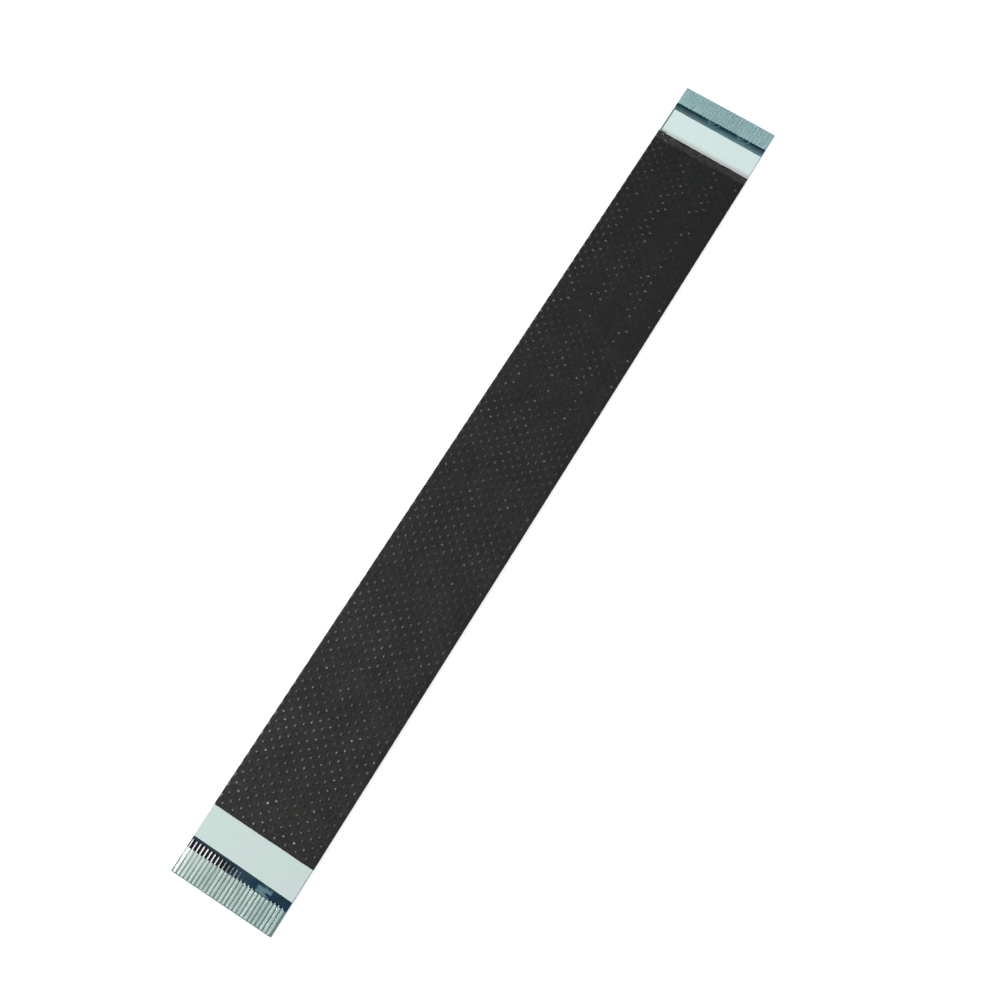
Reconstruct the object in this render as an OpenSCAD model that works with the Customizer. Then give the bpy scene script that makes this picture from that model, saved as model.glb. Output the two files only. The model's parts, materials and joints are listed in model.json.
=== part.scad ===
// Shielded flat flex cable, lying flat. X runs across it, Y along it, Z up.
// The origin is under its middle, on the surface that it lies on.

/* [Cable] */
// Length from tip to tip
cable_len = 116.8; // [60:0.1:300]
// Number of conductors
conductor_count = 26; // [4:1:50]
// Distance from one conductor's centre to the next
pitch = 0.5; // [0.5:0.05:1.25]
// Film left beyond the outer edge of the outermost conductors, as the mean of both sides
edge_margin = 0.235; // [0.2:0.005:0.6]
// How far the row of conductors lies to the left of the films' middle
conductor_shift = 0.065; // [0:0.005:0.08]

/* [Conductors] */
// Width of a conductor, which is a round wire rolled flat
conductor_w = 0.32; // [0.2:0.01:0.38]
// Thickness of a conductor with its tin plating
conductor_t = 0.04; // [0.03:0.005:0.1]
// Bare contact length at the near and the far tip
contact_len = [3.0, 2.7]; // [2:0.1:5]

/* [Films] */
// Thickness of the film under the conductors
base_t = 0.06; // [0.03:0.01:0.15]
// Thickness of the film over the conductors
cover_t = 0.06; // [0.03:0.01:0.15]
// How much of a conductor's thickness shows as a ridge in the cover film
ridge_share = 0.6; // [0.2:0.05:1]
// Width of the flat top of a ridge
ridge_top_w = 0.1; // [0.05:0.01:0.3]
// How far the glue between the conductors runs out past the end of the cover film
glue_run = 0.22; // [0.05:0.01:0.6]
// Thickness of the white spacer film
spacer_t = 0.1; // [0.05:0.01:0.3]
// Cover film left bare on each side of the spacer
spacer_edge = 0.04; // [0:0.01:1]
// Length of cover film left bare between the contacts and the spacer, near and far
band_len = [1.33, 1.23]; // [0.3:0.01:4]
// How much further in the left edge of the spacer lies at its far end
spacer_taper = 0.2; // [0:0.01:1]
// How much nearer to the near tip the right end of the spacer's near and far edge lies
spacer_slant = [0.2, 0.1]; // [0:0.01:1]
// Size across and along of the nick in the spacer film, beside the far end of the shield
nick = [0.75, 0.3]; // [0.1:0.05:1]

/* [Stiffeners] */
// Thickness of the tape under each tip
stiffener_t = 0.2; // [0.1:0.01:0.4]
// Gap between a stiffener and the shield
stiffener_gap = 0.3; // [0:0.05:2]

/* [Shield] */
// Thickness of the shield film
shield_t = 0.06; // [0.03:0.005:0.2]
// Length of spacer film that the shield leaves showing, near and far
strip_len = [3.97, 3.8]; // [1:0.01:10]
// Inside radius of the shield's folds
fold_r = 0.02; // [0.01:0.005:0.08]
// Air between the edges of the films and the place where a fold starts to curve
fold_clear = 0.005; // [0:0.005:0.1]
// Width of the lap along the back, where one flap is glued over the other
lap_w = 3; // [1:0.5:6]
// Length over which the outer flap steps down to pass over the inner one
joggle_w = 0.4; // [0.2:0.1:1]
// Thickness of the glue line between the two flaps
lap_glue_t = 0.02; // [0.01:0.005:0.05]

/* [Hidden] */
// Steps in each flank of a ridge
FLANK_STEPS = 5;
// How far a cut runs past the face that it cuts
CUT = 0.1;
$fn = 48;

NEAR = 0;
FAR = 1;

film_w = (conductor_count - 1) * pitch + conductor_w + 2 * edge_margin;
ridge_h = ridge_share * conductor_t;
flank_w = (pitch - ridge_top_w) / 2;

// Heights, from the surface that the cable lies on. It lies on its stiffeners, on the lap of its
// shield, or on both, whichever reach lower below the films.
lap_t = 2 * shield_t + lap_glue_t;
base_z = max(stiffener_t, lap_t);
stiffener_z = base_z - stiffener_t;
lap_z = base_z - lap_t;
conductor_z = base_z + base_t;
cover_top_z = conductor_z + conductor_t + cover_t;
shield_top_z = cover_top_z + spacer_t + shield_t;

// Distances from a tip
spacer_start = contact_len + band_len;
shield_start = spacer_start + strip_len;
stiffener_len = [for (end = [NEAR, FAR]) shield_start[end] - stiffener_gap];

near_tip = -cable_len / 2;
far_tip = cable_len / 2;

cavity_w = film_w + 2 * (fold_r + fold_clear);
shield_w = cavity_w + 2 * shield_t;
shield_bottom_z = base_z - shield_t;

function conductor_name(i) = str("conductor_", i < 9 ? "0" : "", i + 1);
function conductor_x(i) = (i - (conductor_count - 1) / 2) * pitch - conductor_shift;

// Stretches a section, drawn with its height as Y, along the cable from one distance to another.
module along(from_y, to_y) {
    translate([0, to_y, 0])
        rotate([90, 0, 0])
            linear_extrude(to_y - from_y)
                children();
}

// A slab of film across the whole width, from height z upwards.
module film(from_y, to_y, z, thickness) {
    translate([-film_w / 2, from_y, z])
        cube([film_w, to_y - from_y, thickness]);
}

// The section of a round wire rolled flat: flat faces and round sides.
module rolled_section(width, thickness) {
    translate([-width / 2 + thickness / 2, 0])
        square([width - thickness, thickness]);
    for (side = [-1, 1])
        translate([side * (width - thickness) / 2, thickness / 2])
            circle(d = thickness);
}

module conductor(i) {
    color("gainsboro")
        translate([conductor_x(i), 0, conductor_z])
            along(near_tip, far_tip)
                rolled_section(conductor_w, conductor_t);
}

module base_film() {
    color("cadetblue")
        film(near_tip, far_tip, base_z, base_t);
}

// Half a cosine wave, from 0 at the foot of a ridge's flank to 1 at its shoulder.
function flank(share) = (1 - cos(180 * share)) / 2;

// The top line of the cover film over one conductor, from right to left.
function ridge_points(x) = concat(
    [for (s = [0 : FLANK_STEPS])
        [x + pitch / 2 - flank_w * s / FLANK_STEPS,
         cover_top_z - ridge_h + ridge_h * flank(s / FLANK_STEPS)]],
    [for (s = [FLANK_STEPS : -1 : 1])
        [x - pitch / 2 + flank_w * s / FLANK_STEPS,
         cover_top_z - ridge_h + ridge_h * flank(s / FLANK_STEPS)]]
);

// The plan of one strip of glue between two conductors, with a round tongue at each end.
module glue_plan(from_x, to_x) {
    width = to_x - from_x;
    from_y = near_tip + contact_len[NEAR] - glue_run + width / 2;
    to_y = far_tip - contact_len[FAR] + glue_run - width / 2;
    translate([from_x, from_y])
        square([width, to_y - from_y]);
    for (end_y = [from_y, to_y])
        translate([(from_x + to_x) / 2, end_y])
            circle(d = width);
}

// The cover film: a film pressed into ridges over the conductors, and the glue that it has
// pushed down between them.
module cover_film() {
    last = conductor_count - 1;
    glue_top_z = conductor_z + conductor_t;
    edges = concat(
        [-film_w / 2],
        [for (i = [0 : last], side = [-1, 1]) conductor_x(i) + side * conductor_w / 2],
        [film_w / 2]
    );
    top = concat(
        [[film_w / 2, cover_top_z - ridge_h]],
        [for (i = [last : -1 : 0]) each ridge_points(conductor_x(i))],
        [[-film_w / 2, cover_top_z - ridge_h]]
    );
    color("midnightblue") {
        along(near_tip + contact_len[NEAR], far_tip - contact_len[FAR])
            polygon(concat([[-film_w / 2, glue_top_z], [film_w / 2, glue_top_z]], top));
        for (k = [0 : conductor_count])
            translate([0, 0, conductor_z])
                linear_extrude(conductor_t)
                    glue_plan(edges[2 * k], edges[2 * k + 1]);
    }
}

// The spacer film, whose edges were cut at a slight slant.
module spacer_film() {
    from_y = near_tip + spacer_start[NEAR];
    to_y = far_tip - spacer_start[FAR];
    nick_y = to_y - strip_len[FAR];
    side = film_w / 2 - spacer_edge;
    color("honeydew")
        translate([0, 0, cover_top_z])
            linear_extrude(spacer_t)
                difference() {
                    polygon([
                        [-side, from_y + spacer_slant[NEAR] / 2],
                        [side, from_y - spacer_slant[NEAR] / 2],
                        [side, to_y - spacer_slant[FAR] / 2],
                        [-side + spacer_taper, to_y + spacer_slant[FAR] / 2]
                    ]);
                    translate([-side - CUT, nick_y])
                        square([spacer_taper + nick.x + CUT, nick.y]);
                }
}

module stiffener(from_y, to_y) {
    color("steelblue")
        film(from_y, to_y, stiffener_z, stiffener_t);
}

// A rectangle with round corners, standing on y = 0 and centred across.
module rounded_box(width, height, r) {
    translate([-width / 2, r])
        square([width, height - 2 * r]);
    translate([-width / 2 + r, 0])
        square([width - 2 * r, height]);
    for (x = [-1, 1], y = [r, height - r])
        translate([x * (width / 2 - r), y])
            circle(r);
}

// One film wrapped all the way round: over the top, round both folds, and lapped along the back.
module wrap_section() {
    cavity_h = shield_top_z - shield_t - base_z;
    difference() {
        translate([0, shield_bottom_z])
            rounded_box(shield_w, cavity_h + 2 * shield_t, fold_r + shield_t);
        translate([0, base_z])
            rounded_box(cavity_w, cavity_h, fold_r);
        // the inner flap ends here, and the outer flap has stepped down below it
        polygon([
            [-lap_w / 2 - joggle_w, shield_bottom_z - CUT],
            [-lap_w / 2 - joggle_w, base_z + CUT],
            [-lap_w / 2, base_z + CUT],
            [-lap_w / 2, shield_bottom_z - CUT]
        ]);
    }
    // the outer flap, from its free edge back along its underside, up its step and into the wrap
    polygon([
        [lap_w / 2, lap_z + shield_t],
        [-lap_w / 2, lap_z + shield_t],
        [-lap_w / 2 - joggle_w, base_z],
        [-lap_w / 2 - 2 * joggle_w, base_z],
        [-lap_w / 2 - 2 * joggle_w, shield_bottom_z],
        [-lap_w / 2 - joggle_w, shield_bottom_z],
        [-lap_w / 2, lap_z],
        [lap_w / 2, lap_z]
    ]);
}

module shield_wrap() {
    color("dimgray")
        along(near_tip + shield_start[NEAR], far_tip - shield_start[FAR])
            wrap_section();
}

for (i = [0 : conductor_count - 1])
    conductor(i);
base_film();
cover_film();
spacer_film();
stiffener(near_tip, near_tip + stiffener_len[NEAR]);  // stiffener_near
stiffener(far_tip - stiffener_len[FAR], far_tip);  // stiffener_far
shield_wrap();
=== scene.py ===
# %% [markdown]
# # A shielded flat flex cable
#
# A flat flex cable is a sandwich of films. Twenty-six flat copper wires, tin plated, lie side by
# side between a base film and a glossy blue cover film. A white spacer film lies on top, and a
# black shield film, embossed with rows of small dots, is wrapped round all of it. The wires stay
# bare for a few millimetres at both tips, where a socket grips them.
#
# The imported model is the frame: every piece below is made in its place and at its size. The wires,
# the white film and the tape under the tips keep their CAD meshes and only get a finish. The
# shield, the cover film and the base film are modelled anew, for their fine relief.

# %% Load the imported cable
import json
import math

import bpy
import numpy as np
from mathutils import Matrix, Vector

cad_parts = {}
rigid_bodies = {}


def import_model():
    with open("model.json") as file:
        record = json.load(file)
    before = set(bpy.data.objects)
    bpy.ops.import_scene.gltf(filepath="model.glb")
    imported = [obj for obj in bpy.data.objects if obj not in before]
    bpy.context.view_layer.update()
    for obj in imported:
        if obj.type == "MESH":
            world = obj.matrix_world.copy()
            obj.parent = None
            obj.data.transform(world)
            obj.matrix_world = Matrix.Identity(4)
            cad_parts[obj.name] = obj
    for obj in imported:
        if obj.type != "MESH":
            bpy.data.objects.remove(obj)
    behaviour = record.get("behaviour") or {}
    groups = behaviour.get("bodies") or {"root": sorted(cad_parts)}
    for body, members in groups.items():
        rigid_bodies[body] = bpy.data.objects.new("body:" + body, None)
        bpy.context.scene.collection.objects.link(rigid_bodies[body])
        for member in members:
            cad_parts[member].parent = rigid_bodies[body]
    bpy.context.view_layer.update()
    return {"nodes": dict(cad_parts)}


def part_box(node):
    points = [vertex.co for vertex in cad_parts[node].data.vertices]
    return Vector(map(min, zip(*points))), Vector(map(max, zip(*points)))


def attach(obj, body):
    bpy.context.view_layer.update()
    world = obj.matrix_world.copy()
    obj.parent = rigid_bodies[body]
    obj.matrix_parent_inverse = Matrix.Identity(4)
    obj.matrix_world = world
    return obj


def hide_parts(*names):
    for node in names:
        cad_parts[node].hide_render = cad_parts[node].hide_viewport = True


bpy.ops.object.select_all(action="SELECT")
bpy.ops.object.delete()      # a new file's own cube, lamp and camera
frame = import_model()
MM = 0.001


def in_mm(lengths):
    return [round(length / MM, 2) for length in lengths]


# %% [markdown]
# ## Measures
#
# Places come from the boxes of the CAD nodes. A box can't tell a thickness or a fold's radius, so
# those few values repeat the part's own source.

# %% Take the places of the films
WIRES = sorted(name for name in frame["nodes"] if name.startswith("conductor_"))
PITCH = 0.5 * MM
SHIELD_T = 0.06 * MM
FOLD_R = 0.02 * MM           # inside radius of the shield's folds
LAP_W = 3 * MM
JOGGLE_W = 0.4 * MM          # over this length the outer flap steps down below the inner one
LAP_T = 0.14 * MM            # two flaps and the glue between them
RIDGE_H = 0.036 * MM         # how far a wire lifts the cover film
GLUE_RUN = 0.22 * MM         # how far the glue runs out past the end of the cover film

shield_low, shield_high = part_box("shield_wrap")
spacer_low, spacer_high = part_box("spacer_film")
cover_low, cover_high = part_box("cover_film")
base_low, base_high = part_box("base_film")
wire_low, wire_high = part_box(WIRES[0])
wire_x = [(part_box(name)[0].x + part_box(name)[1].x) / 2 for name in WIRES]
near_tip, far_tip = base_low.y, base_high.y
print("shield from and to, in mm:", in_mm((shield_low.y, shield_high.y)))

# %% [markdown]
# ## The camera
#
# The camera looks down on the cable from a hand's width away, so the far end looks smaller and is
# seen more from the side. It stands where this aim point, heading, height and tilt put it.

# %% Place the camera
AIM = Vector((1.97, -3.18, 0.3)) * MM
DISTANCE = 137.95 * MM
HEADING, LOOK_DOWN, TILT = (math.radians(a) for a in (-26.78, 75.393, 5.053))

look = Vector((
    math.sin(HEADING) * math.cos(LOOK_DOWN),
    math.cos(HEADING) * math.cos(LOOK_DOWN),
    -math.sin(LOOK_DOWN),
))
camera = bpy.data.objects.new("camera", bpy.data.cameras.new("camera"))
bpy.context.scene.collection.objects.link(camera)
camera.matrix_world = (
    Matrix.Translation(AIM - DISTANCE * look)
    @ look.to_track_quat("-Z", "Y").to_matrix().to_4x4()
    @ Matrix.Rotation(TILT, 4, "Z")
)
camera.data.sensor_width = 36
camera.data.lens = 41.265
camera.data.clip_start = 1 * MM
camera.data.clip_end = 20
bpy.context.scene.camera = camera
print("camera at, in mm:", in_mm(camera.matrix_world.translation))

# %% [markdown]
# ## The light
#
# Black film, glossy film and tin show lamps more than they show their own colour. A round soft box
# stands to the left of the near end and a long weak one runs along the left of the rest. Both lie
# where the left flanks of the dots and ridges mirror them to the camera, while flat film mirrors
# only the plain grey world. A large dim soft box hangs over the near end, where the flat tin
# mirrors it, and a brighter one on the right fills the shadows.
#
# An area lamp's power is its brightness times pi times its area. So each lamp is given by how
# bright it looks, and it can change its size without changing the tone of what mirrors it.

# %% Hang the lamps and set the world
def soft_box(name, place, aim, size, brightness, colour=(1, 1, 1)):
    """An area lamp, in metres: a disc if its size is one number, and a rectangle if it is two."""
    lamp = bpy.data.objects.new(name, bpy.data.lights.new(name, "AREA"))
    bpy.context.scene.collection.objects.link(lamp)
    lamp.location = place
    lamp.rotation_euler = (Vector(aim) - Vector(place)).to_track_quat("-Z", "Y").to_euler()
    if isinstance(size, float):
        lamp.data.shape = "DISK"
        lamp.data.size = size
        area = math.pi * size ** 2 / 4
    else:
        lamp.data.shape = "RECTANGLE"
        lamp.data.size, lamp.data.size_y = size
        area = size[0] * size[1]
    lamp.data.energy = brightness * math.pi * area
    lamp.data.color = colour
    print(name, round(lamp.data.energy, 2), "W")


soft_box("key_lamp", place=(-0.220, -0.115, 0.328), aim=(0, -0.02, 0), size=0.080,
         brightness=50, colour=(1, 1, 0.93))
soft_box("strip_lamp", place=(-0.220, 0.160, 0.385), aim=(0, 0.03, 0), size=(0.30, 0.10),
         brightness=5.6)
soft_box("right_lamp", place=(0.600, 0.500, 0.500), aim=(0, 0.02, 0), size=(0.5, 0.5),
         brightness=3.2)
soft_box("top_lamp", place=(-0.120, -0.220, 0.750), aim=(0, -0.05, 0), size=(0.5, 0.5),
         brightness=0.26)

WORLD_GREY = (0.28, 0.35, 0.38)
world = bpy.data.worlds.new("plain_grey")
world.use_nodes = True
sky = world.node_tree.nodes["Background"]
sky.inputs["Color"].default_value = (*WORLD_GREY, 1)
sky.inputs["Strength"].default_value = 1
bpy.context.scene.world = world
bpy.context.scene.view_settings.view_transform = "Standard"

# %% [markdown]
# ## Small helpers for materials
#
# Each finish is a Principled shader with patterns from noise. The pattern's coordinates are the
# object's own, in millimetres, so a scale of 10 means ten grains to a millimetre. Node trees grow
# long when each node is written out, so the few that come up again and again get a short name.

# %% Make a finish and its patterns
MIX_A, MIX_B, MIX_RESULT = 6, 7, 2      # a Mix node's colour sockets; other kinds share their names


class Finish:
    """A material, whose shader takes plain values by name and patterns from the methods below."""

    def __init__(self, name, **sockets):
        self.material = bpy.data.materials.new(name)
        self.material.use_nodes = True
        self.tree = self.material.node_tree
        self.shader = self.tree.nodes["Principled BSDF"]
        for socket, value in sockets.items():
            self.shader.inputs[socket.replace("_", " ")].default_value = value
        self.place = self.node("ShaderNodeMapping")
        self.place.inputs["Scale"].default_value = (1 / MM,) * 3
        self.feed(self.place.inputs["Vector"], self.node("ShaderNodeTexCoord").outputs["Object"])
        print("finish:", name)

    def node(self, kind, **settings):
        made = self.tree.nodes.new(kind)
        for setting, value in settings.items():
            setattr(made, setting, value)
        return made

    def feed(self, socket, value):
        """Links another node's output to a socket, or sets the socket to a number or a colour."""
        if hasattr(value, "links"):
            self.tree.links.new(value, socket)
        elif isinstance(value, tuple):
            socket.default_value = (*value, 1)
        else:
            socket.default_value = value

    def set(self, socket, value):
        self.feed(self.shader.inputs[socket], value)

    def noise(self, per_mm, detail=3, stretch=(1, 1, 1)):
        scaled = self.node("ShaderNodeMapping")
        scaled.inputs["Scale"].default_value = stretch
        self.feed(scaled.inputs["Vector"], self.place.outputs["Vector"])
        grain = self.node("ShaderNodeTexNoise")
        grain.inputs["Scale"].default_value = per_mm
        grain.inputs["Detail"].default_value = detail
        self.feed(grain.inputs["Vector"], scaled.outputs["Vector"])
        return grain.outputs["Fac"]

    def along(self, axis):
        parts = self.node("ShaderNodeSeparateXYZ")
        self.feed(parts.inputs["Vector"], self.place.outputs["Vector"])
        return parts.outputs[axis]

    def attribute(self, name):
        return self.node("ShaderNodeAttribute", attribute_name=name).outputs["Fac"]

    def math(self, operation, *values):
        made = self.node("ShaderNodeMath", operation=operation)
        for socket, value in zip(made.inputs, values):
            self.feed(socket, value)
        return made.outputs[0]

    def times(self, product, *others):
        for other in others:
            product = self.math("MULTIPLY", product, other)
        return product

    def ramp(self, value, low, high, to_low=0.0, to_high=1.0, smooth=True):
        """Turns one range of a value into another, and holds it level outside that range."""
        made = self.node(
            "ShaderNodeMapRange", interpolation_type="SMOOTHSTEP" if smooth else "LINEAR"
        )
        self.feed(made.inputs["Value"], value)
        for socket, number in zip(
            ("From Min", "From Max", "To Min", "To Max"), (low, high, to_low, to_high)
        ):
            made.inputs[socket].default_value = number
        return made.outputs["Result"]

    def by_end(self, near, far):
        """One number on the near half of the cable and another one on the far half."""
        return self.ramp(self.along("Y"), -0.1, 0.1, near, far)

    def mix(self, share, first, second):
        """The first colour where the share is 0, and the second where it is 1."""
        made = self.node("ShaderNodeMix", data_type="RGBA")
        self.feed(made.inputs["Factor"], share)
        self.feed(made.inputs[MIX_A], first)
        self.feed(made.inputs[MIX_B], second)
        return made.outputs[MIX_RESULT]

    def bump(self, height, depth, strength=1.0):
        made = self.node("ShaderNodeBump")
        made.inputs["Distance"].default_value = depth
        made.inputs["Strength"].default_value = strength
        self.feed(made.inputs["Height"], height)
        self.set("Normal", made.outputs["Normal"])


def dress(obj, finish):
    obj.data.materials.clear()
    obj.data.materials.append(finish.material)


# %% [markdown]
# ## The floor
#
# The cable lies on a pale floor. A little light of its own, for camera, glossy and transmitted
# rays only, lifts the floor to white, while the lamps still draw the cable's shadow on it. More
# light from the lamps would whiten it too, but would also bleach the cable.

# %% Lay the floor
FLOOR_SIZE = 6
FLOOR_Z = -0.002 * MM        # just clear of the cable's underside
FLOOR_GLOW = 0.72

bpy.ops.object.select_all(action="DESELECT")
bpy.ops.mesh.primitive_plane_add(size=FLOOR_SIZE, location=(0, 0, FLOOR_Z))
floor = bpy.context.object
floor.name = "floor"
pale = Finish("pale_floor", Base_Color=(0.45, 0.45, 0.45, 1), Roughness=0.9,
              Specular_IOR_Level=0.1, Emission_Color=(1, 1, 1, 1))
rays = pale.node("ShaderNodeLightPath").outputs
seen = pale.math(
    "MAXIMUM",
    pale.math("MAXIMUM", rays["Is Camera Ray"], rays["Is Glossy Ray"]),
    rays["Is Transmission Ray"],
)
pale.set("Emission Strength", pale.times(seen, FLOOR_GLOW))
dress(floor, pale)

# %% [markdown]
# ## Small helpers for modelling
#
# An operator acts on all that is selected, so each step first selects just what it needs, by
# its place in the mesh. A sheet of film gets its thickness in one way all through: its open rim
# is pulled down and closed with a single face, which costs no faces where the back is flat.

# %% Select, edit and finish meshes
def select_only(*objects):
    if bpy.context.object and bpy.context.object.mode == "EDIT":
        bpy.ops.object.mode_set(mode="OBJECT")
    bpy.ops.object.select_all(action="DESELECT")
    for obj in objects:
        obj.select_set(True)
    bpy.context.view_layer.objects.active = objects[0]


def pick(obj, kind, test=lambda middle: True):
    """In edit mode, selects the vertices, edges or faces whose middle passes the test."""
    bpy.ops.object.mode_set(mode="EDIT")
    bpy.ops.mesh.select_mode(type=kind)
    bpy.ops.mesh.select_all(action="DESELECT")
    bpy.ops.object.mode_set(mode="OBJECT")
    points = obj.data.vertices
    if kind == "VERT":
        items = [(v, v.co) for v in points]
    elif kind == "EDGE":
        items = [(e, (points[e.vertices[0]].co + points[e.vertices[1]].co) / 2)
                 for e in obj.data.edges]
    else:
        items = [(f, f.center) for f in obj.data.polygons]
    for item, middle in items:
        item.select = test(middle)
    bpy.ops.object.mode_set(mode="EDIT")


def pick_rim():
    """In edit mode, selects the open edges round a sheet."""
    bpy.ops.mesh.select_mode(type="EDGE")
    bpy.ops.mesh.select_all(action="DESELECT")
    bpy.ops.mesh.select_non_manifold(use_wire=False, use_multi_face=False,
                                     use_non_contiguous=False, use_verts=False)


def close_below(thickness):
    """Pulls the selected rim down, closes it with one face, and turns all faces outwards."""
    bpy.ops.mesh.extrude_region_move(TRANSFORM_OT_translate={"value": (0, 0, -thickness)})
    bpy.ops.mesh.edge_face_add()
    bpy.ops.mesh.select_all(action="SELECT")
    bpy.ops.mesh.normals_make_consistent(inside=False)
    bpy.ops.object.mode_set(mode="OBJECT")


def bake_place(obj):
    select_only(obj)
    bpy.ops.object.transform_apply(location=True, rotation=True, scale=True)


def modify(obj, kind, **settings):
    select_only(obj)
    modifier = obj.modifiers.new(kind.lower(), kind)
    for setting, value in settings.items():
        setattr(modifier, setting, value)
    bpy.ops.object.modifier_apply(modifier=modifier.name)


def slab(name, low, high):
    """A film cut to size: a box from one corner to another."""
    low, high = Vector(low), Vector(high)
    bpy.ops.object.select_all(action="DESELECT")
    bpy.ops.mesh.primitive_cube_add(size=1, location=(low + high) / 2)
    obj = bpy.context.object
    obj.name = name
    obj.scale = high - low
    bake_place(obj)
    return obj


def smooth(obj):
    """Shades the mesh smooth, apart from its sharp edges."""
    select_only(obj)
    bpy.ops.object.shade_smooth_by_angle(angle=math.radians(40), keep_sharp_edges=True)


# %% [markdown]
# ## The shield, first as a flat sheet
#
# The shield starts as a flat embossed sheet, as the real one does. One tile with one raised dot is
# modelled, a second tile is set half a step aside, and the pair is repeated by two arrays until it
# covers the sheet. The mid points on the long sides let the staggered rows share their corners.

# %% Model one tile with its dot
DOT_STEP = 1.413 * MM        # from dot to dot across the cable
ROW_STEP = 0.666 * MM        # from row to row along it
DOT_W, DOT_L = 0.50 * MM, 0.56 * MM
DOT_H = 0.038 * MM
DOT_FLANK = 0.145 * MM
COLLAR = 0.2 * ROW_STEP      # flat film left along the sides of a tile

bpy.ops.object.select_all(action="DESELECT")
bpy.ops.mesh.primitive_plane_add(size=1)
sheet = bpy.context.object
sheet.name = "embossed_shield"
sheet.scale = (DOT_STEP, ROW_STEP, 1)
bake_place(sheet)
pick(sheet, "EDGE", lambda c: abs(c.y) > 0.4 * ROW_STEP)
bpy.ops.mesh.subdivide(number_cuts=1)
pick(sheet, "FACE")
bpy.ops.mesh.inset(thickness=COLLAR)
square = (ROW_STEP - 2 * COLLAR) / (DOT_STEP - 2 * COLLAR)
bpy.ops.transform.resize(value=(square, 1, 1))
pick(sheet, "EDGE", lambda c: abs(c.y) < 0.01 * MM and abs(c.x) < 0.4 * DOT_STEP)
bpy.ops.mesh.subdivide(number_cuts=1)


def in_dot(c):
    return abs(c.x) < 0.35 * ROW_STEP and abs(c.y) < 0.35 * ROW_STEP


pick(sheet, "VERT", lambda c: in_dot(c) and c.length > 0.1 * ROW_STEP)
bpy.ops.transform.tosphere(value=1)
bpy.ops.object.mode_set(mode="OBJECT")
radius = max(v.co.length for v in sheet.data.vertices if in_dot(v.co))
pick(sheet, "EDGE", lambda c: in_dot(c) and c.length > 0.8 * radius)
bpy.ops.mesh.mark_sharp()
bpy.ops.transform.resize(value=(DOT_W / 2 / radius, DOT_L / 2 / radius, 1))
pick(sheet, "FACE", lambda c: c.length < 0.5 * DOT_L)
bpy.ops.mesh.inset(thickness=DOT_FLANK)
bpy.ops.transform.translate(value=(0, 0, 0.8 * DOT_H))
pick(sheet, "VERT", lambda c: c.xy.length < 0.05 * DOT_W)
bpy.ops.transform.translate(value=(0, 0, 0.2 * DOT_H))
bpy.ops.object.mode_set(mode="OBJECT")
print("one tile:", len(sheet.data.polygons), "faces,", len(sheet.data.vertices), "points")

# %% [markdown]
# To know how wide the flat sheet is, the outline of the finished wrap is measured first, seen from
# its end: points with the direction that faces outwards, from the middle of the top, over one
# fold, and along the back to that flap's free edge.

# %% Measure the outline of the wrap
FOLD_STEPS = 3
FOLD_OUT = FOLD_R + SHIELD_T
wrap_w = shield_high.x - shield_low.x
wrap_h = shield_high.z - shield_low.z - (LAP_T - SHIELD_T)
back_z = shield_high.z - wrap_h
half_top = wrap_w / 2 - FOLD_OUT


def fold(middle_x, middle_z, start):
    """A quarter of a circle round a fold, turning from its start angle towards the back."""
    turns = [math.radians(start - 90 * k / FOLD_STEPS) for k in range(FOLD_STEPS + 1)]
    return [((middle_x + FOLD_OUT * math.cos(a), middle_z + FOLD_OUT * math.sin(a)),
             (math.cos(a), math.sin(a))) for a in turns]


side = fold(half_top, shield_high.z - FOLD_OUT, 90) + fold(half_top, back_z + FOLD_OUT, 0)
DOWN = (0, -1)
inner_flap = side + [((-LAP_W / 2, back_z), DOWN)]
outer_flap = side + [
    ((LAP_W / 2 + JOGGLE_W, back_z), DOWN),
    ((LAP_W / 2, shield_low.z), DOWN),
    ((-LAP_W / 2, shield_low.z), DOWN),
]


def measured(flap):
    """Adds to each point of a flap how far it is from the middle of the top, along the film."""
    walked, here, found = 0.0, Vector((0, shield_high.z)), []
    for point, out in flap:
        walked += (Vector(point) - here).length
        here = Vector(point)
        found.append((walked, *point, *out))
    return found


right = measured(inner_flap)
left = [(-s, -x, z, -out_x, out_z) for s, x, z, out_x, out_z in measured(outer_flap)]
outline = left[::-1] + [(0.0, 0.0, shield_high.z, 0.0, 1.0)] + right
sheet_from, sheet_to = outline[0][0], outline[-1][0]
print("flat width of the shield, in mm:", in_mm([sheet_to - sheet_from]))

# %% [markdown]
# The two rows of the pattern are half a step apart. The arrays make the sheet a little too large,
# and bisect trims it, as a roll of embossed film is cut without regard to its dots. More cuts, at
# the fold lines, let it bend there. The rim is flattened before it is pulled down, because a dot
# may lie across it.

# %% Repeat the tile, trim the sheet and give it a thickness
DOT_PHASE = -5.87 * MM       # where one column of dots lies across the cable
ROW_PHASE = 0.58 * MM        # from the near edge of the shield to its first row
SAME_POINT = 0.002 * MM      # points nearer than this are one

other = sheet.copy()
other.data = sheet.data.copy()
bpy.context.scene.collection.objects.link(other)
other.location = (DOT_STEP / 2, ROW_STEP, 0)
bake_place(other)
select_only(sheet, other)
bpy.ops.object.join()
across = math.ceil((sheet_to - sheet_from) / DOT_STEP) + 2
pairs = math.ceil((shield_high.y - shield_low.y) / (2 * ROW_STEP)) + 2
for count, stride in ((across, (DOT_STEP, 0, 0)), (pairs, (0, 2 * ROW_STEP, 0))):
    modify(sheet, "ARRAY", count=count, use_relative_offset=False, use_constant_offset=True,
           constant_offset_displace=stride, use_merge_vertices=True, merge_threshold=SAME_POINT)
first_column = DOT_PHASE - DOT_STEP * math.ceil((DOT_PHASE - sheet_from) / DOT_STEP + 0.5)
first_row = shield_low.y + ROW_PHASE - 2 * ROW_STEP
sheet.location = (first_column, first_row, 0)
bake_place(sheet)


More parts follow.
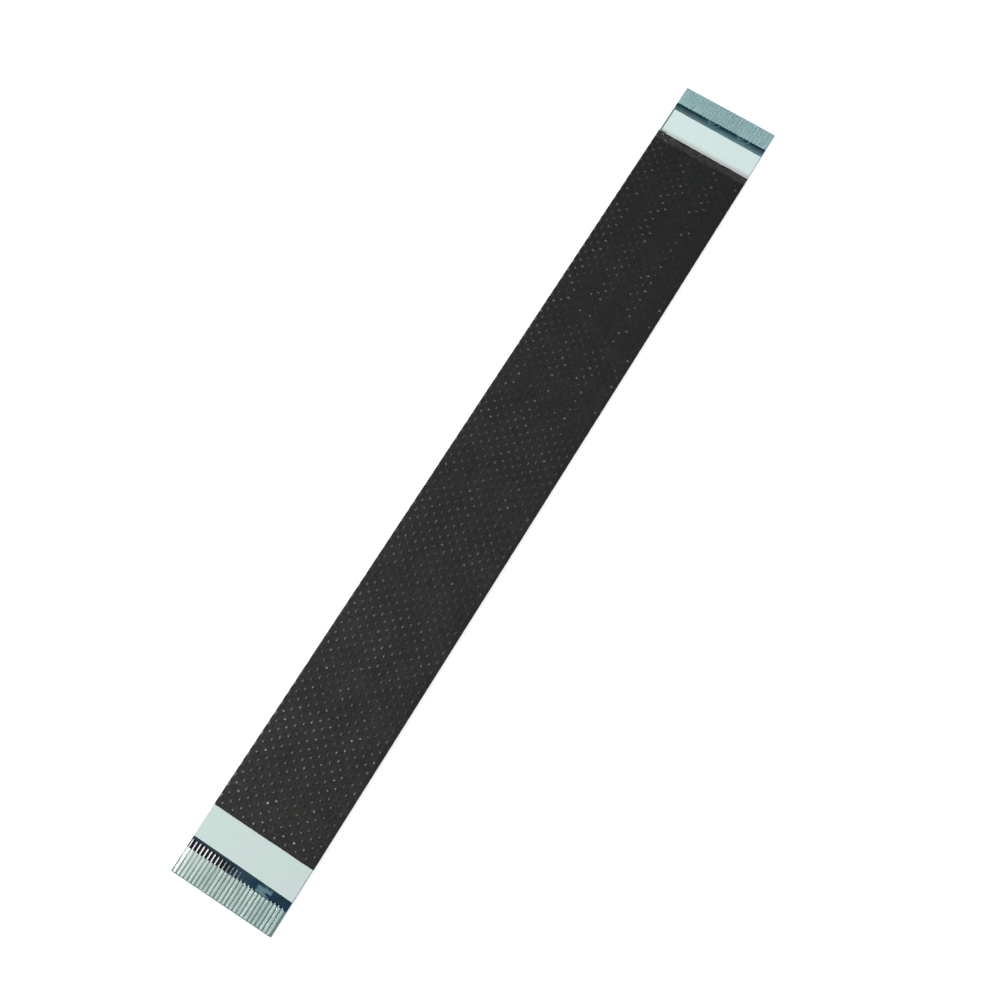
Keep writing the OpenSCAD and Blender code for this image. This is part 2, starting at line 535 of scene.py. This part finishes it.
def cut(obj, place, normal, clear=False):
    """Cuts the mesh along a plane, and can throw away what lies on the side it faces."""
    pick(obj, "FACE")
    bpy.ops.mesh.bisect(plane_co=place, plane_no=normal, clear_outer=clear, threshold=1e-7)
    bpy.ops.object.mode_set(mode="OBJECT")


cut(sheet, (sheet_from, 0, 0), (-1, 0, 0), clear=True)
cut(sheet, (sheet_to, 0, 0), (1, 0, 0), clear=True)
cut(sheet, (0, shield_low.y, 0), (0, -1, 0), clear=True)
cut(sheet, (0, shield_high.y, 0), (0, 1, 0), clear=True)
print("flat sheet, in mm:", in_mm(sheet.dimensions), len(sheet.data.polygons), "faces")
pick(sheet, "VERT")
bpy.ops.mesh.remove_doubles(threshold=SAME_POINT)
pick_rim()
bpy.ops.transform.resize(value=(1, 1, 0), center_override=(0, 0, 0))
close_below(SHIELD_T)
for fold_line, *_ in outline[1:-1]:
    if fold_line:
        cut(sheet, (fold_line, 0, 0), (1, 0, 0))
print("sheet with its rim and fold lines:", len(sheet.data.polygons), "faces")

# %% [markdown]
# ## The shield, wrapped
#
# No two dots of a real embossed film are quite alike, and the film itself waves a little. So each
# dot gets its own height and lean, the film gets long low waves, and only then is every point
# carried round the outline of the wrap. Where the film was pressed unevenly, some dots lean over
# so far that their whole top catches the light, and others are nearly flat again.
#
# Moving the points with numpy, all at once, is quicker than operators for three thousand dots.
# The dice are thrown for each row and column, so all the points of a dot move together.

# %% Find each point's dot, and throw its dice
SEED = 7
MOST_ROWS, MOST_COLUMNS = 400, 200

points = np.array([v.co for v in sheet.data.vertices])
s, y, h = points.T.copy()    # across the sheet, along it, and height
outer = h > -SHIELD_T / 2
raised = np.where(outer, h / DOT_H, 0)
row = np.rint((y - shield_low.y - ROW_PHASE) / ROW_STEP).astype(int)
column = np.rint(2 * (s - DOT_PHASE) / DOT_STEP).astype(int)
# a row uses every other column, so a point may belong to the one beside the nearest
column += (column + row) % 2 * np.where(2 * (s - DOT_PHASE) / DOT_STEP > column, 1, -1)
dice = np.random.RandomState(SEED).uniform(-1, 1, (6, MOST_ROWS, MOST_COLUMNS))
taller, lean_across, lean_along, luck, wider, longer = dice[
    :, row % MOST_ROWS, column % MOST_COLUMNS
]
middle_s = DOT_PHASE + column * DOT_STEP / 2
middle_y = shield_low.y + ROW_PHASE + row * ROW_STEP
dot_s, dot_y = s - middle_s, y - middle_y
print("rows of dots:", row.max() - row.min() + 1)

# %% Vary the dots
RECESS = 0.02 * MM           # how far the ground lies below the outside of the CAD part
CREST_AT = 0.11              # the first wave's crest, as a share of the width from the left
CREST_STEP = 0.305           # from crest to crest, as a share of the width
GLOSS_AT = -38 * MM          # the middle of a glossier stretch of film
GLOSS_STEP = 14 * MM         # from one of these stretches to the next


def smoothstep(value, low, high):
    """Rises smoothly from 0 to 1 between two values."""
    t = np.clip((value - low) / (high - low), 0, 1)
    return t * t * (3 - 2 * t)


along = (middle_y - shield_low.y) / (shield_high.y - shield_low.y)
share = middle_s / wrap_w + 0.5
swing = 0.03 * np.sin(middle_y / (6.1 * MM) + 1) + 0.02 * np.sin(middle_y / (1.7 * MM))
crest = np.cos(2 * math.pi * (share - CREST_AT - swing) / CREST_STEP)
caught = 0.8 * crest + luck > 0.6 + 0.1 * along      # these dots lean over and catch the light
smooth_part = smoothstep(along, 0.45, 0.75) * (1 - 0.35 * smoothstep(crest, 0, 1))
pressed = np.where(caught, 1, 1 - 0.7 * smooth_part)
lean = (1 + (0.3 * lean_across + 0.1 + (1.5 + 0.3 * wider) * caught) * dot_s / (DOT_W / 2)
        + 0.4 * lean_along * dot_y / (DOT_L / 2))
h = np.where(outer, h * (1 + 0.25 * taller) * lean * pressed - RECESS, h)
in_a_dot = (dot_s / DOT_W) ** 2 + (dot_y / DOT_L) ** 2 < 0.3
s += np.where(outer & in_a_dot, dot_s * (0.17 * wider - 0.12 + 0.25 * caught), 0)
y += np.where(outer & in_a_dot, dot_y * (0.17 * longer - 0.2 * caught), 0)

# dots would only crumple in a fold, or keep the lap from lying flat
in_fold = np.abs(np.abs(middle_s) - half_top - 0.3 * MM) < 0.42 * MM
under_lap = s > sheet_to - LAP_W - JOGGLE_W
h = np.where(outer & (under_lap | in_fold), -RECESS, h)
print("points of dots that catch the light:", int((caught & (raised > 0)).sum()))

# %% [markdown]
# Two numbers stay with each point for the finish: how far it is raised, and how glossy the roller
# has left it. The shader reads them as attributes, so the gloss sits on the dots wherever they
# went, which a pattern of its own could only imitate.

# %% Note how glossy each dot is
polish = 0.46 + 0.26 * np.cos(2 * math.pi * (middle_y - GLOSS_AT) / GLOSS_STEP) + 0.15 * taller
polish = np.where(caught, (0.45 + 0.4 * along) * (1 + 0.3 * taller),
                  polish * (1 - 0.3 * smooth_part))
shine = np.minimum(1.6 * raised, 1) * polish
for name, values in (("dot", raised), ("shine", shine)):
    attribute = sheet.data.attributes.new(name, "FLOAT", "POINT")
    attribute.data.foreach_set("value", values.astype(np.float32))
print("shine up to", round(float(shine.max()), 2))

# %% [markdown]
# Modifiers can bend a sheet, but a wrap with four tight folds and a lap turns differently at each
# place. The outline already says, for each distance along the film, where that place ends up and
# which way is out. So every point is looked up in it, and its height above the flat sheet becomes
# its distance outwards.

# %% Wave the film and wrap it
WAVE_H = 0.02 * MM
CREASE_H = 0.014 * MM        # a low crease, where the far end was pressed down
CREASE_BACK = 0.75 * MM      # from the far edge of the shield
CREASE_W = 0.16 * MM
SHOULDER_W = 0.36 * MM       # the film sinks along its folds
SHOULDER_H = 0.03 * MM
OFF_SQUARE = 0.11 * MM       # how far the ends of the shield aren't cut square

on_top = np.clip((half_top - 0.15 * MM - np.abs(s)) / (0.4 * MM), 0, 1)
share = s / wrap_w + 0.5
wander = 0.5 * np.sin(y / (6.1 * MM) + 1) + 0.4 * np.sin(y / (2.9 * MM) + 3 * share)
swell = 0.62 + 0.38 * np.sin(y / (4.7 * MM) + 5 * share)
wave = WAVE_H * swell * np.sin(2 * math.pi * (share - CREST_AT) / CREST_STEP + wander)
crease = CREASE_H * np.exp(-((shield_high.y - CREASE_BACK - y) / CREASE_W) ** 2)
h += np.where(outer, on_top * (wave + crease), 0)
shoulder = np.clip((np.abs(s) - half_top + SHOULDER_W) / SHOULDER_W, 0, 1)
shoulder = np.where(np.abs(s) < half_top + 0.1 * MM, shoulder ** 2, 0)
h -= np.where(outer, SHOULDER_H * shoulder, 0)

walked, *wrap_and_out = np.array(outline).T
wrap_x, wrap_z, out_x, out_z = (np.interp(s, walked, values) for values in wrap_and_out)
out_length = np.hypot(out_x, out_z)
x = wrap_x + out_x / out_length * h
z = wrap_z + out_z / out_length * h
y -= OFF_SQUARE * x / wrap_w
for v, co in zip(sheet.data.vertices, zip(x, y, z)):
    v.co = co
sheet.data.update()
smooth(sheet)
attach(sheet, "root")
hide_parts("shield_wrap")
print("shield, in mm:", in_mm(sheet.dimensions))

# %% [markdown]
# ## The cover film
#
# The cover film was rolled on hot, so it follows the wires in low ridges where it shows, and lies
# flat under the white film. A fine grid makes the near band; its far edge is extruded to the far
# band and then in short steps along it, so one sheet has all the rows that it needs.

# %% Make the flat sheet
PER_PITCH = 16               # columns of the grid to a wire
ROWS_NEAR, ROWS_FAR = 12, 7
MELTED_BACK = 0.04 * MM      # the near cut edge has drawn back, and left its glue behind
SLANT_NEAR, SLANT_FAR = 0.2 * MM, 0.1 * MM      # the white film's ends aren't cut square
NEAR_BY = 1e-6

glue_from = cover_low.y + GLUE_RUN
film_from, film_to = glue_from + MELTED_BACK, cover_high.y - GLUE_RUN
film_under = wire_high.z
grid_to, grid_again = spacer_low.y + SLANT_NEAR, spacer_high.y - SLANT_FAR
row_from, row_to = wire_x[0] - PITCH / 2, wire_x[-1] + PITCH / 2

bpy.ops.object.select_all(action="DESELECT")
bpy.ops.mesh.primitive_grid_add(
    x_subdivisions=PER_PITCH * len(WIRES), y_subdivisions=ROWS_NEAR, size=1,
    location=((row_from + row_to) / 2, (film_from + grid_to) / 2, cover_high.z),
)
film = bpy.context.object
film.name = "ridged_cover_film"
film.scale = (row_to - row_from, grid_to - film_from, 1)
bake_place(film)


def stretch(obj, test, step_by):
    """Extrudes the edges whose middle passes the test."""
    pick(obj, "EDGE", test)
    bpy.ops.mesh.extrude_region_move(TRANSFORM_OT_translate={"value": step_by})
    bpy.ops.object.mode_set(mode="OBJECT")


stretch(film, lambda c: c.x < row_from + NEAR_BY, (cover_low.x - row_from, 0, 0))
stretch(film, lambda c: c.x > row_to - NEAR_BY, (cover_high.x - row_to, 0, 0))
stretch(film, lambda c: c.y > grid_to - NEAR_BY, (0, grid_again - grid_to, 0))
for k in range(ROWS_FAR):
    reached = grid_again + k * (film_to - grid_again) / ROWS_FAR
    stretch(film, lambda c: c.y > reached - NEAR_BY, (0, (film_to - grid_again) / ROWS_FAR, 0))
bpy.ops.object.mode_set(mode="EDIT")
pick_rim()
close_below(cover_high.z - film_under)
print("cover film:", len(film.data.polygons), "faces")

# %% [markdown]
# The ridges are crisp at the near end's left side and fade towards its right, where only small
# nubs are left at the cut edge. The film at the far end lies nearly flat.

# %% Raise the ridges
FOOT, SHOULDER = 0.01 * MM, 0.21 * MM      # where a ridge's flank starts and ends, from the gap
CRISP_TO, FADED_FROM = -0.4 * MM, 1.6 * MM
NUB_WHOLE, NUB_GONE = 0.16 * MM, 0.36 * MM      # from the near cut edge
FAR_RIDGES = 0.12            # how much of a ridge the far end shows
FILLED = 0.45                # the level of flat film, between gap and ridge

x, y, z = np.array([v.co for v in film.data.vertices]).T.copy()
on_top = z > (film_under + cover_high.z) / 2
from_wire = (x - wire_x[0] + PITCH / 2) % PITCH - PITCH / 2
ridge = np.clip((PITCH / 2 - np.abs(from_wire) - FOOT) / (SHOULDER - FOOT), 0, 1)
ridge *= (x > row_from - NEAR_BY) & (x < row_to + NEAR_BY)
crisp = smoothstep(x, FADED_FROM, CRISP_TO) * (1 + 0.1 * np.sin(x / (0.9 * MM)))
nub = smoothstep(y, film_from + NUB_GONE, film_from + NUB_WHOLE) * (1.05 + 0.15 * x / row_to)
nub *= 1 + 0.12 * np.sin(x / (0.7 * MM))
shown = np.where(y < 0, np.maximum(crisp, nub), FAR_RIDGES)

# the white film's slanted edges, near which the film is pressed flat
aside = x / (cover_high.x - cover_low.x)
edge_near = spacer_low.y + SLANT_NEAR * (0.5 - aside)
edge_far = spacer_high.y - SLANT_FAR * (0.5 + aside)
pressed = np.where(y < 0, smoothstep(y, edge_near - 0.36 * MM, edge_near - 0.2 * MM),
                   smoothstep(y, edge_far + 0.3 * MM, edge_far + 0.05 * MM))
shown = shown * (1 - pressed)
filled = FILLED * (1 + pressed)
z = np.where(on_top, cover_high.z - RIDGE_H * (1 - shown * ridge - (1 - shown) * filled), z)
for v, height in zip(film.data.vertices, z):
    v.co.z = height
film.data.update()
smooth(film)
print("highest ridge, in mm:", in_mm([z.max()]))

# %% [markdown]
# Hot glue was pushed out between the wires and ends in small round tongues. One strip of it is a
# slab with its four upright edges rounded; it is repeated across, and a strip of another width
# runs along each side.

# %% Add the glue strips
FAR_GLUE_RUN = 0.09 * MM     # at the far end hardly any glue came out
GLUE_INTO_FILM = 0.01 * MM
glue_to = film_to + FAR_GLUE_RUN


def glue_strip(name, from_x, to_x):
    low = (from_x, glue_from, wire_low.z)
    high = (to_x, glue_to, film_under + GLUE_INTO_FILM)
    strip = slab(name, low, high)
    pick(strip, "EDGE", lambda c: min(abs(c.y - glue_from), abs(c.y - glue_to)) < NEAR_BY
         and min(abs(c.x - from_x), abs(c.x - to_x)) < NEAR_BY)
    bpy.ops.mesh.bevel(offset=0.49 * (to_x - from_x), segments=5)
    bpy.ops.object.mode_set(mode="OBJECT")
    return strip


half_wire = (wire_high.x - wire_low.x) / 2
between = glue_strip("glue_between", wire_x[0] + half_wire, wire_x[1] - half_wire)
modify(between, "ARRAY", count=len(WIRES) - 1, use_relative_offset=False,
       use_constant_offset=True, constant_offset_displace=(PITCH, 0, 0))
left_glue = glue_strip("glue_left", cover_low.x, wire_x[0] - half_wire)
right_glue = glue_strip("glue_right", wire_x[-1] + half_wire, cover_high.x)
select_only(film, between, left_glue, right_glue)
bpy.ops.object.join()
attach(film, "root")
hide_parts("cover_film")
print("cover film with its glue:", len(film.data.polygons), "faces")

# %% [markdown]
# ## The base film
#
# The base film is the one piece that runs from tip to tip. Its mesh is divided along its length,
# so that it could be bent, and its edges are slightly rounded, as shears leave them.

# %% Cut the base film
BASE_CUTS = 39
EDGE_R = 0.008 * MM

base = slab("base_film_strip", base_low, base_high)
pick(base, "EDGE", lambda c: abs(c.y) < NEAR_BY)
bpy.ops.mesh.subdivide(number_cuts=BASE_CUTS)
bpy.ops.object.mode_set(mode="OBJECT")
modify(base, "BEVEL", width=EDGE_R, segments=2, limit_method="ANGLE")
smooth(base)
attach(base, "root")
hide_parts("base_film")
print("base film:", round((far_tip - near_tip) / MM, 2), "mm long")

# %% [markdown]
# ## Finishes
#
# The shield is a matte black film, and the hot roller has left its dots a little glossier. Its
# gloss is a clear coat, whose weight comes from the dots' attribute, over one matte ground. Fine
# grain, mottling and slow clouds of noise keep the black from looking like paint. The near end is
# painted paler, a painted sheen that fades towards the far end; the far end has a pale pressed
# hem, and both cut edges get a thin painted shade.

# %% Black embossed film
BLACK = (0.0328, 0.028, 0.0258)
near_edge, far_edge = shield_low.y / MM, shield_high.y / MM

black = Finish("black_embossed_film", Specular_IOR_Level=0.24, Coat_Roughness=0.26)
dot = black.attribute("dot")
along_film = black.along("Y")
grain = black.noise(9, 4)
ground = black.times(
    black.ramp(grain, 0.3, 0.7, 0.35, 0.65),
    black.ramp(black.noise(0.22, 3), 0.3, 0.7, 0.8, 1.2),
    black.ramp(black.noise(2.6, 4), 0.3, 0.7, 0.6, 1.4),
    black.ramp(dot, 0.1, 0.8, 1, 0.5),
)
# painted shade: the black darkens at both cut edges
inside = black.times(        # 0 at both cut edges, and 1 between them
    black.ramp(along_film, near_edge + 0.02, near_edge + 0.12),
    black.ramp(along_film, far_edge - 0.12, far_edge - 0.24),
)
# painted sheen: paler at the near end, fading towards the far end
painted_sheen = black.ramp(along_film, near_edge, far_edge, 1, 0.34, smooth=False)
hem = black.times(
    black.ramp(along_film, far_edge - 1.3, far_edge - 0.7),
    black.ramp(black.noise(1.6, 4, stretch=(0.6, 2, 1)), 0.35, 0.6, 0.25, 1),
)
tone = black.times(
    ground,
    black.math("ADD", black.times(inside, 0.8), 0.2),
    black.math("ADD", painted_sheen, black.times(hem, 2.4)),
)
black.set("Base Color", black.mix(tone, (0, 0, 0), BLACK))
black.set("Roughness", black.math(
    "ADD", black.ramp(dot, 0.02, 0.4, 0.6, 0.38), black.ramp(grain, 0.3, 0.7, -0.03, 0.03)
))
black.set("Coat Weight", black.attribute("shine"))
black.bump(black.noise(22, 2), 0.003 * MM, 0.5)
dress(sheet, black)

# %% [markdown]
# The bare wires are tinned copper, rolled flat: streaks run along them and each one leans a trace,
# which a slow bump, stretched along them, gives more cheaply than bent meshes. The plating's colour
# carries painted light: it is painted brighter on the right, the far end gets a paler, more teal
# copy for the light there, and the outermost wire on the left gets a painted highlight. At the
# near tip a thin dark line of painted shade lies over the wire ends.

# %% Tinned copper
TIP_SHADE = (0.10, 0.20, 0.22)
# painted light: the right is painted brighter than the left, and the far end paler and more teal
LEFT_LIT_PLATING = (0.37, 0.425, 0.405), (0.51, 0.57, 0.54)         # its dull and its bright streaks
RIGHT_LIT_PLATING = (0.45, 0.53, 0.50), (0.58, 0.665, 0.635)
# painted highlight along the outermost wire on the left
OUTERMOST_HIGHLIGHT = (0.86, 0.90, 0.84)
FAR_LIT_PLATING = (0.475, 0.64, 0.625), (0.63, 0.81, 0.795)         # left and right


def past_tip_shade(finish):
    """0 on the painted shade at the near tip's wire ends, and 1 past it."""
    return finish.ramp(finish.along("Y"), near_tip / MM + 0.06, near_tip / MM + 0.11)


tin = Finish("tinned_copper", Metallic=1)
streaks = tin.noise(12, 3, stretch=(1, 0.05, 1))
tin.set("Roughness", tin.math(
    "ADD", tin.ramp(streaks, 0.3, 0.7, -0.02, 0.02), tin.by_end(0.36, 0.30)
))
across_tip = tin.along("X")
bright = tin.ramp(tin.noise(1.15, 2, stretch=(1, 0.1, 1)), 0.35, 0.65)
near_lit_plating = tin.mix(
    tin.ramp(across_tip, -4, 4), tin.mix(bright, *LEFT_LIT_PLATING), tin.mix(bright, *RIGHT_LIT_PLATING)
)
near_lit_plating = tin.mix(
    tin.ramp(across_tip, -6.5, -5.4, 0.9, 0), near_lit_plating, OUTERMOST_HIGHLIGHT
)
far_lit_plating = tin.mix(tin.ramp(across_tip, 0, 6), *FAR_LIT_PLATING)
lit_plating = tin.mix(tin.by_end(0, 1), near_lit_plating, far_lit_plating)
# painted shade: a dark teal line over the wire ends at the near tip
tin.set("Base Color", tin.mix(past_tip_shade(tin), TIP_SHADE, lit_plating))
rolled = tin.noise(1.9, 2, stretch=(1, 0.1, 1))
tin.bump(tin.times(rolled, tin.by_end(1, 0.2)), 0.002 * MM)
for name in WIRES:
    dress(frame["nodes"][name], tin)

# %% [markdown]
# The cover film is glossy and dark blue. Its tone carries painted reflection: the near band is
# painted nearly black on its left and bluer on its right, and lighter beside the white film, and the
# far band pales towards the white film. The far band has four faint round marks, and a pale patch
# lies on the near band.
#
# The marks and the patch are drawn in the colour alone, with no shape of their own.

# %% Glossy blue cover film
LEFT_BLACK, MIDDLE_BLUE = (0.0, 0.001, 0.010), (0.014, 0.044, 0.066)
RIGHT_BLUE = (0.002, 0.024, 0.046)
BESIDE_WHITE = (0.012, 0.045, 0.062)
FAR_DARK, FAR_PALE = (0.0, 0.024, 0.042), (0.148, 0.25, 0.262)
MARK, PALE_PATCH = (0.09, 0.21, 0.23), (0.10, 0.19, 0.23)
MOTTLE = (0.0, 0.004, 0.008)


def round_mark(finish, x, y, radius):
    """A faint ring with its middle at (x, y) mm."""
    offsets = (finish.math("SUBTRACT", finish.along("X"), x),
               finish.math("SUBTRACT", finish.along("Y"), y))
    squares = [finish.times(d, d) for d in offsets]
    distance = finish.math("SQRT", finish.math("ADD", *squares))
    off_line = finish.math("ABSOLUTE", finish.math("SUBTRACT", distance, radius))
    return finish.ramp(off_line, 0.12, 0.02)


def between_x(finish, from_x, to_x, soft):
    """1 between two places across the cable, in mm, and 0 outside them."""
    return finish.times(
        finish.ramp(finish.along("X"), from_x - soft, from_x + soft),
        finish.ramp(finish.along("X"), to_x + soft, to_x - soft),
    )


blue = Finish("glossy_blue_film", Specular_IOR_Level=0.29, Roughness=0.15)
film_x, film_y = blue.along("X"), blue.along("Y")
white_near, white_far = spacer_low.y / MM, spacer_high.y / MM
film_near, film_far = film_from / MM, film_to / MM

# painted reflection: nearly black on the left, bluer on the right, lighter beside the white film
near_tone = blue.mix(blue.ramp(film_x, -1.8, 0.2), LEFT_BLACK, MIDDLE_BLUE)
near_tone = blue.mix(blue.ramp(film_x, 0.8, 2.4), near_tone, RIGHT_BLUE)
near_tone = blue.mix(blue.ramp(film_y, white_near - 0.2, white_near), near_tone, BESIDE_WHITE)
# painted reflection: the far band pales towards the white film
far_tone = blue.mix(
    blue.ramp(film_y, film_far - 0.22, white_far - 0.05, smooth=False), FAR_DARK, FAR_PALE
)
marks = round_mark(blue, -1.04, film_far + 0.2, 0.88)
for mark_x, past_film, radius in ((3.43, 0.2, 0.9), (-1.3, 0.1, 0.42), (3.1, 0.1, 0.4)):
    mark = round_mark(blue, mark_x, film_far + past_film, radius)
    marks = blue.math("MAXIMUM", marks, mark)
far_tone = blue.mix(blue.times(marks, 0.8), far_tone, MARK)
tone = blue.mix(blue.by_end(0, 1), near_tone, far_tone)
tone = blue.mix(blue.ramp(blue.noise(1.4, 3), 0.35, 0.65, 0.2, 0), tone, MOTTLE)
pale_patch = blue.times(
    blue.ramp(blue.noise(2.2, 4, stretch=(0.5, 1.6, 1)), 0.40, 0.56),
    between_x(blue, 2.4, 4.2, soft=0.12),
    blue.ramp(film_y, white_near - 0.05, white_near - 0.3),
    blue.ramp(film_y, film_near, film_near + 0.2),
)
blue.set("Base Color", blue.mix(pale_patch, tone, PALE_PATCH))
dress(film, blue)

# %% [markdown]
# The base film shows as thin lines between the bare wires. It is a clear film over a blue tape,
# and together they look teal. Light that goes through clear film and back is slow to render, so
# the film simply gets the colour that the two make.

# %% Teal base film
NEAR_TEAL = (0.122, 0.20, 0.18), (0.163, 0.253, 0.23)
FAR_TEAL = (0.245, 0.385, 0.395)
TIP_SHADE_TEAL = (0.08, 0.17, 0.19)

teal = Finish("teal_base_film", Roughness=0.32, Specular_IOR_Level=0.4)
cloudy = teal.mix(teal.noise(1.2, 3), *NEAR_TEAL)
# painted light: the far end is a paler copy of the teal
paler = teal.mix(teal.by_end(0, 1), cloudy, FAR_TEAL)
# painted shade at the near tip's wire ends
teal.set("Base Color", teal.mix(past_tip_shade(teal), TIP_SHADE_TEAL, paler))
dress(base, teal)

# %% [markdown]
# The spacer film is a matte white with a faint green cast and slow clouds in it. Its far end is
# painted brighter, for the light there. Beside the far edge of the shield it is a warm grey: painted
# shade of the shield's edge, with the warm tint of squeezed-out glue.

# %% White spacer film
NEAR_WHITE = (0.552, 0.648, 0.597), (0.58, 0.63, 0.618)
FAR_WHITE = (0.630, 0.730, 0.700), (0.655, 0.740, 0.718)
EDGE_SHADE_AND_GLUE = (0.465, 0.45, 0.44)

white = Finish("white_spacer_film", Roughness=0.55)
near_paper = white.mix(white.ramp(white.noise(0.3, 4), 0.36, 0.64), *NEAR_WHITE)
far_paper = white.mix(white.ramp(white.noise(0.5, 3), 0.36, 0.64), *FAR_WHITE)
# painted light: the far end is painted brighter
paper = white.mix(white.by_end(0, 1), near_paper, far_paper)
uneven_y = white.math("ADD", white.along("Y"), white.times(white.noise(1.2, 2), -0.12))
# painted shade of the shield's far edge, with a warm tint of glue
edge_shade_and_glue = white.times(white.by_end(0, 1), white.ramp(uneven_y, far_edge + 0.8, far_edge))
white.set("Base Color", white.mix(edge_shade_and_glue, paper, EDGE_SHADE_AND_GLUE))
dress(frame["nodes"]["spacer_film"], white)

# %% [markdown]
# The tape that stiffens the tips is blue and satin. Only its edges are seen from above, so a
# little clouding is all it needs.

# %% Blue stiffener tape
tape = Finish("blue_stiffener_tape", Roughness=0.35)
tape.set("Base Color", tape.mix(tape.noise(0.8, 3), (0.05, 0.14, 0.27), (0.07, 0.18, 0.33)))
for name in ("stiffener_near", "stiffener_far"):
    dress(frame["nodes"][name], tape)
